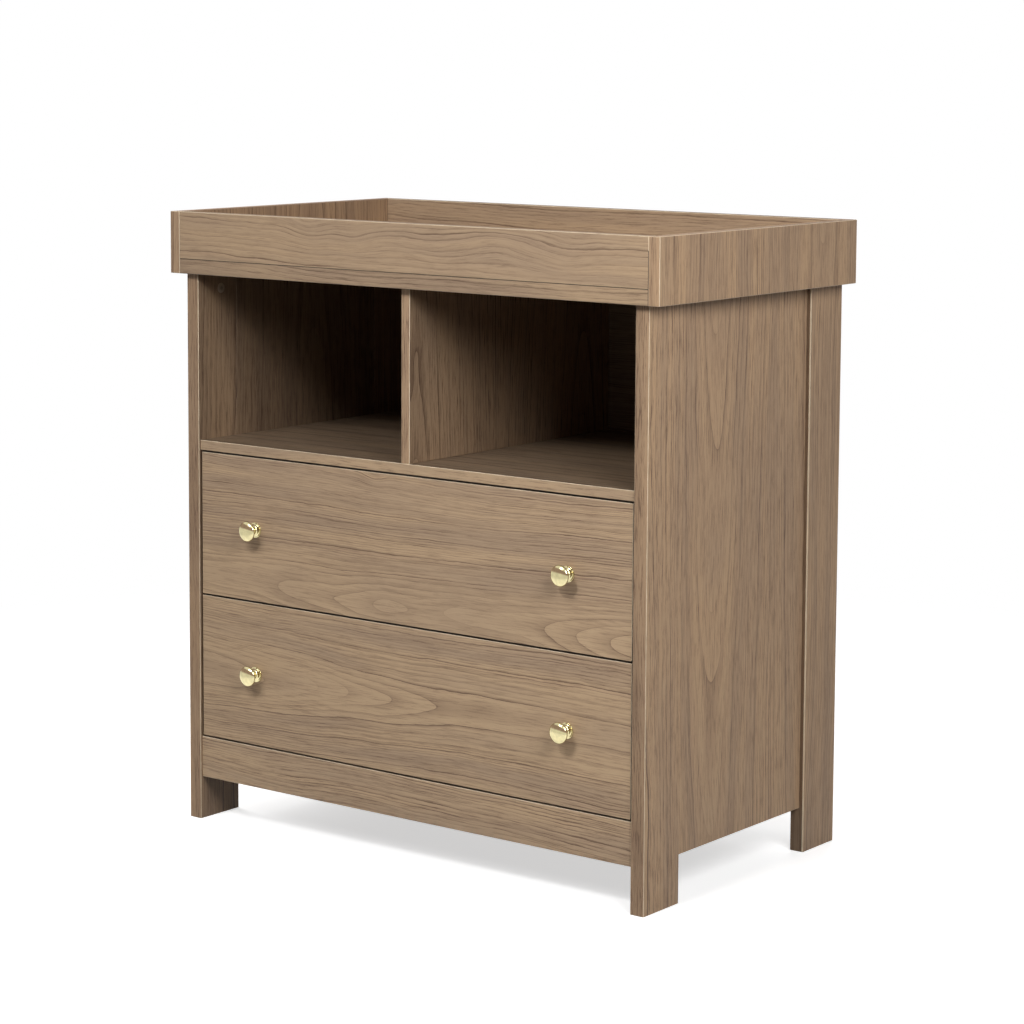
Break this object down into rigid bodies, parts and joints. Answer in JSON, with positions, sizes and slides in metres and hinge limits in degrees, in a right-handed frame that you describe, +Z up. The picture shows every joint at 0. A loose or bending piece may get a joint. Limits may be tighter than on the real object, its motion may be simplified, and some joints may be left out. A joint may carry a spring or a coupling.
{
  "type": "changing dresser",
  "caption": "Changing dresser with a rimmed changing tray on top, open shelf compartments under it and inset drawers on steel roller runners, all carried between board legs.",
  "frame": {"origin": "on the floor, in the middle of the overall width and depth", "axes": "+X to the viewer's right, +Y from the drawer fronts to the back, +Z up"},
  "size_m": [0.88, 0.514, 0.919],
  "materials": {
    "walnut_foil": "satin printed walnut foil on particle board",
    "drawer_board": "matt foil on particle board",
    "back_sheet": "matt foil on thin hardboard",
    "brass": "polished pale brass",
    "runner_steel": "powder-coated folded steel",
    "nylon": "moulded nylon",
    "zinc": "zinc plated",
    "beech": "fluted beech dowel"
  },
  "bodies": {
    "carcass": {"back_panel": "back_sheet", "cam_bolts": "zinc", "cam_locks": "zinc", "divider": "walnut_foil", "dowels": "beech", "leg_back_left": "walnut_foil", "leg_back_right": "walnut_foil", "leg_front_left": "walnut_foil", "leg_front_right": "walnut_foil", "long_screws": "zinc", "lower_runner_left": "runner_steel", "lower_runner_right": "runner_steel", "rail_back": "walnut_foil", "rail_front": "walnut_foil", "shelf": "walnut_foil", "side_panel_left": "walnut_foil", "side_panel_right": "walnut_foil", "small_screws": "zinc", "top_panel": "walnut_foil", "tray_back_wall": "walnut_foil", "tray_front_wall": "walnut_foil", "tray_wall_left": "walnut_foil", "tray_wall_right": "walnut_foil", "upper_runner_left": "runner_steel", "upper_runner_right": "runner_steel"},
    "upper_drawer": {"upper_drawer_back": "drawer_board", "upper_drawer_bottom": "back_sheet", "upper_drawer_cam_bolts": "zinc", "upper_drawer_cam_locks": "zinc", "upper_drawer_front": "walnut_foil", "upper_drawer_knob_screws": "zinc", "upper_drawer_knobs": "brass", "upper_drawer_runner_left": "runner_steel", "upper_drawer_runner_right": "runner_steel", "upper_drawer_screws": "zinc", "upper_drawer_side_left": "drawer_board", "upper_drawer_side_right": "drawer_board"},
    "lower_drawer": {"lower_drawer_back": "drawer_board", "lower_drawer_bottom": "back_sheet", "lower_drawer_cam_bolts": "zinc", "lower_drawer_cam_locks": "zinc", "lower_drawer_front": "walnut_foil", "lower_drawer_knob_screws": "zinc", "lower_drawer_knobs": "brass", "lower_drawer_runner_left": "runner_steel", "lower_drawer_runner_right": "runner_steel", "lower_drawer_screws": "zinc", "lower_drawer_side_left": "drawer_board", "lower_drawer_side_right": "drawer_board"},
    "lower_drawer_roller_left": {"lower_drawer_roller_left": "nylon"},
    "lower_drawer_roller_right": {"lower_drawer_roller_right": "nylon"},
    "lower_front_roller_left": {"lower_front_roller_left": "nylon"},
    "lower_front_roller_right": {"lower_front_roller_right": "nylon"},
    "upper_drawer_roller_left": {"upper_drawer_roller_left": "nylon"},
    "upper_drawer_roller_right": {"upper_drawer_roller_right": "nylon"},
    "upper_front_roller_left": {"upper_front_roller_left": "nylon"},
    "upper_front_roller_right": {"upper_front_roller_right": "nylon"}
  },
  "joints": [
    {"name": "upper_drawer_slide", "type": "slide", "parent": "carcass", "child": "upper_drawer", "axis": [0, -1, 0], "range_m": [0, 0.29]},
    {"name": "lower_drawer_slide", "type": "slide", "parent": "carcass", "child": "lower_drawer", "axis": [0, -1, 0], "range_m": [0, 0.29]},
    {"name": "upper_front_roller_left_spin", "type": "hinge", "parent": "carcass", "child": "upper_front_roller_left", "pos_m": [-0.3882, -0.203, 0.37305], "axis": [1, 0, 0], "range_deg": [0, 2375]},
    {"name": "upper_drawer_roller_left_spin", "type": "hinge", "parent": "upper_drawer", "child": "upper_drawer_roller_left", "pos_m": [-0.3882, 0.1775, 0.37545], "axis": [1, 0, 0], "range_deg": [0, 2375]},
    {"name": "upper_front_roller_right_spin", "type": "hinge", "parent": "carcass", "child": "upper_front_roller_right", "pos_m": [0.3882, -0.203, 0.37305], "axis": [1, 0, 0], "range_deg": [0, 2375]},
    {"name": "upper_drawer_roller_right_spin", "type": "hinge", "parent": "upper_drawer", "child": "upper_drawer_roller_right", "pos_m": [0.3882, 0.1775, 0.37545], "axis": [1, 0, 0], "range_deg": [0, 2375]},
    {"name": "lower_front_roller_left_spin", "type": "hinge", "parent": "carcass", "child": "lower_front_roller_left", "pos_m": [-0.3882, -0.203, 0.1563], "axis": [1, 0, 0], "range_deg": [0, 2375]},
    {"name": "lower_drawer_roller_left_spin", "type": "hinge", "parent": "lower_drawer", "child": "lower_drawer_roller_left", "pos_m": [-0.3882, 0.1775, 0.1587], "axis": [1, 0, 0], "range_deg": [0, 2375]},
    {"name": "lower_front_roller_right_spin", "type": "hinge", "parent": "carcass", "child": "lower_front_roller_right", "pos_m": [0.3882, -0.203, 0.1563], "axis": [1, 0, 0], "range_deg": [0, 2375]},
    {"name": "lower_drawer_roller_right_spin", "type": "hinge", "parent": "lower_drawer", "child": "lower_drawer_roller_right", "pos_m": [0.3882, 0.1775, 0.1587], "axis": [1, 0, 0], "range_deg": [0, 2375]}
  ],
  "couplings": [
    {"joint": "upper_front_roller_left_spin", "follows": "upper_drawer_slide", "rad_per_m": 142.86},
    {"joint": "upper_drawer_roller_left_spin", "follows": "upper_drawer_slide", "rad_per_m": 142.86},
    {"joint": "upper_front_roller_right_spin", "follows": "upper_drawer_slide", "rad_per_m": 142.86},
    {"joint": "upper_drawer_roller_right_spin", "follows": "upper_drawer_slide", "rad_per_m": 142.86},
    {"joint": "lower_front_roller_left_spin", "follows": "lower_drawer_slide", "rad_per_m": 142.86},
    {"joint": "lower_drawer_roller_left_spin", "follows": "lower_drawer_slide", "rad_per_m": 142.86},
    {"joint": "lower_front_roller_right_spin", "follows": "lower_drawer_slide", "rad_per_m": 142.86},
    {"joint": "lower_drawer_roller_right_spin", "follows": "lower_drawer_slide", "rad_per_m": 142.86}
  ]
}
